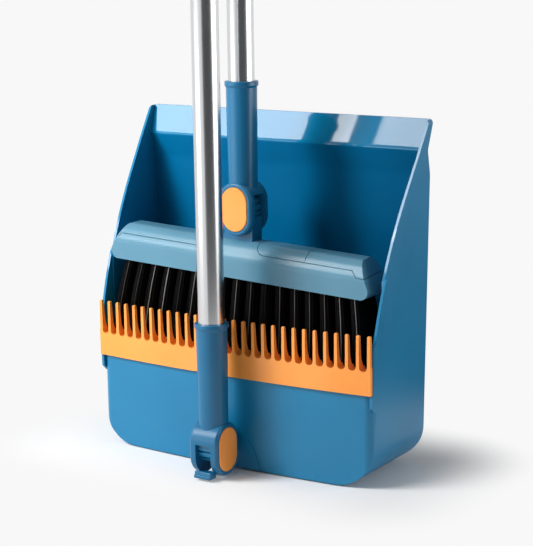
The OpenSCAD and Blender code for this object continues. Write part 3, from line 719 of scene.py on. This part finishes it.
@dataclass(frozen=True)
class Softbox:
    """A flat, soft lamp that faces the pan, placed by the way it is seen from the pan's lip."""

    name: str
    azimuth: float
    elevation: float
    distance: float
    width: float
    height: float
    watts: float
    roll: float = 0.0
    mirrored: bool = True

    def build(self) -> None:
        """Hang the lamp."""
        lamp = bpy.data.lights.new(self.name, "AREA")
        lamp.shape = "RECTANGLE"
        lamp.size = self.width
        lamp.size_y = self.height
        lamp.energy = self.watts
        obj = bpy.data.objects.new(self.name, lamp)
        way = towards(self.azimuth, self.elevation)
        turn = (-way).to_track_quat("-Z", "Y").to_matrix().to_4x4()
        obj.matrix_world = (Matrix.Translation(LIP + way * self.distance) @ turn
                            @ Matrix.Rotation(math.radians(self.roll), 4, "Z"))
        obj.visible_camera = False
        obj.visible_glossy = self.mirrored
        bpy.context.scene.collection.objects.link(obj)


@dataclass(frozen=True)
class Flag:
    """A dark board beside the set, out of the picture, that only its glossy parts mirror.

    It lies just above the floor from near to far, in metres, and stands up at its far edge.
    """

    name: str
    start: float
    end: float
    near: float
    far: float
    height: float
    colour: str = "6E7072"
    clear: float = 0.002
    matt: float = 0.9
    steps: int = 12

    def build(self) -> None:
        """Lay the board on the floor and bend it up at its far edge."""
        profile = ((self.near, self.clear), (self.far, self.clear), (self.far, self.height))
        points = []
        for step in range(self.steps + 1):
            way = towards(self.start + (self.end - self.start) * step / self.steps, 0)
            points += [way * reach + Vector((0, 0, rise)) for reach, rise in profile]
        faces = []
        for step in range(self.steps):
            for row in range(len(profile) - 1):
                first = len(profile) * step + row
                beside = first + len(profile)
                faces.append((first, first + 1, beside + 1, beside))
        mesh = bpy.data.meshes.new(self.name)
        mesh.from_pydata(points, [], faces)
        obj = bpy.data.objects.new(self.name, mesh)
        s = Surface("dark_felt_" + self.name)
        s.set(Base_Color=linear(self.colour), Roughness=self.matt)
        mesh.materials.append(s.material)
        obj.visible_camera = False
        obj.visible_diffuse = False
        obj.visible_shadow = False
        bpy.context.scene.collection.objects.link(obj)


@dataclass(frozen=True)
class Camera:
    """The camera, by its place in metres, the way it looks from and its roll in degrees."""

    at: tuple[float, float, float] = (0.752176, -1.130479, 0.438733)
    azimuth: float = 33.2671
    pitch: float = 11.7643
    roll: float = -0.8676
    lens: float = 108.452
    sensor_width: float = 36.0
    clip_start: float = 0.01

    def build(self) -> None:
        """Set the camera up."""
        azimuth = math.radians(self.azimuth)
        back = towards(self.azimuth, self.pitch)
        right = Vector((math.cos(azimuth), math.sin(azimuth), 0))
        up = back.cross(right)
        turn = Matrix.Rotation(math.radians(self.roll), 4, "Z")
        base = Matrix((right, up, back)).transposed().to_4x4()
        data = bpy.data.cameras.new("camera")
        data.lens = self.lens
        data.sensor_width = self.sensor_width
        data.clip_start = self.clip_start
        obj = bpy.data.objects.new("camera", data)
        obj.matrix_world = Matrix.Translation(self.at) @ base @ turn
        bpy.context.scene.collection.objects.link(obj)
        bpy.context.scene.camera = obj


@dataclass(frozen=True)
class Studio:
    """Pale floor, white surroundings and soft lamps.

    The floor lies a little below the pan's flat base, which draws a thin shadow round its
    foot. It fades to white between two distances from that foot, whose half sizes are given.
    """

    floor_half: float = 14.0
    floor_colour: str = "F0F0F0"
    floor_drop: float = 0.0012
    white: str = "F8F8F8"
    foot: tuple[float, float] = (0.134, 0.047)
    fade_from: float = 0.004
    fade_to: float = 0.1
    ambient: float = 0.2
    matt: float = 0.9
    # name, first and last azimuth, near and far edge, height
    flags: tuple[Flag, ...] = field(default=(
        Flag("front_flag", 8, 86, 0.55, 1.75, 1.3),
        Flag("back_flag", 112, 160, 0.28, 1.6, 0.05, "2A2B2C")))
    # name, azimuth, elevation, distance, width, height, watts
    softboxes: tuple[Softbox, ...] = field(default=(
        Softbox("tall_strip", -37.7, 31, 1.55, 0.354, 1.07, 11.2, roll=-15),
        Softbox("short_strip", -24.85, 33.5, 1.53, 0.246, 0.50, 3.1, roll=-15),
        Softbox("key", -42, 15, 0.6, 0.16, 0.22, 3.0, mirrored=False),
        Softbox("low_left", -40, -8, 1.35, 0.9, 0.35, 2.0),
        Softbox("right", 108, 4, 1.2, 0.8, 0.7, 5.4),
        Softbox("top", -30, 75, 1.9, 1.4, 1.4, 2.5, mirrored=False)))

    def build(self) -> None:
        """Set the floor, the surroundings and the lamps up."""
        self.floor()
        self.world()
        for flag in self.flags:
            flag.build()
        for box in self.softboxes:
            box.build()
        bpy.context.scene.view_settings.view_transform = "Standard"

    def floor(self) -> None:
        """Lay the floor, which fades to white away from the pan's foot where it is seen."""
        mesh = bpy.data.meshes.new("floor")
        h = self.floor_half
        corners = ((-h, -h), (h, -h), (h, h), (-h, h))
        mesh.from_pydata([(x, y, -self.floor_drop) for x, y in corners], [], [(0, 1, 2, 3)])
        obj = bpy.data.objects.new("floor", mesh)
        bpy.context.scene.collection.objects.link(obj)
        s = Surface("matt_white_board")
        s.set(Base_Color=linear(self.floor_colour), Roughness=self.matt, Specular_IOR_Level=0.0)
        # distance from the pan's rectangular foot
        past = s.add("ShaderNodeVectorMath", {"operation": "ABSOLUTE"}, {0: s.place}).outputs[0]
        for operation, other in (("SUBTRACT", (*self.foot, 0.0)), ("MAXIMUM", (0.0, 0.0, 0.0)),
                                 ("MULTIPLY", (1.0, 1.0, 0.0))):
            past = s.add("ShaderNodeVectorMath", {"operation": operation},
                         {0: past, 1: other}).outputs[0]
        reach = s.add("ShaderNodeVectorMath", {"operation": "LENGTH"}, {0: past}).outputs["Value"]
        far = s.add("ShaderNodeMapRange", {"interpolation_type": "SMOOTHSTEP"},
                    {"Value": reach, "From Min": self.fade_from,
                     "From Max": self.fade_to}).outputs[0]
        white = s.add("ShaderNodeEmission", {},
                      {"Color": linear(self.white), "Strength": 1.0}).outputs[0]
        factor = s.math("MULTIPLY", far, s.seeing())
        mix = s.add("ShaderNodeMixShader", {}, {0: factor, 1: s.shader.outputs[0], 2: white})
        s.tree.links.new(mix.outputs[0], s.tree.nodes["Material Output"].inputs["Surface"])
        mesh.materials.append(s.material)

    def world(self) -> None:
        """Surround the set with white where it is seen and with softer light on the object."""
        world = bpy.data.worlds.new("white_surroundings")
        bpy.context.scene.world = world
        world.use_nodes = True
        world.node_tree.nodes.clear()
        nodes = Nodes(world.node_tree)
        white = nodes.add("ShaderNodeBackground", {},
                          {"Color": linear(self.white), "Strength": 1.0}).outputs[0]
        soft = nodes.add("ShaderNodeBackground", {},
                         {"Color": (1, 1, 1, 1), "Strength": self.ambient}).outputs[0]
        mix = nodes.add("ShaderNodeMixShader", {}, {0: nodes.seeing(), 1: soft, 2: white})
        nodes.add("ShaderNodeOutputWorld", {}, {"Surface": mix.outputs[0]})


def main() -> None:
    """Build the set, its studio and its camera, in order."""
    logging.basicConfig(level=logging.INFO, format="%(message)s")
    Camera().build()
    Studio().build()
    Pan().build()
    Handle("pan").build()
    BroomHead().build()
    BristleField().build(Vector(joint_of("broom_handle_swivel")["pos_m"]))
    Handle("broom").build()


if __name__ == "__main__":
    main()
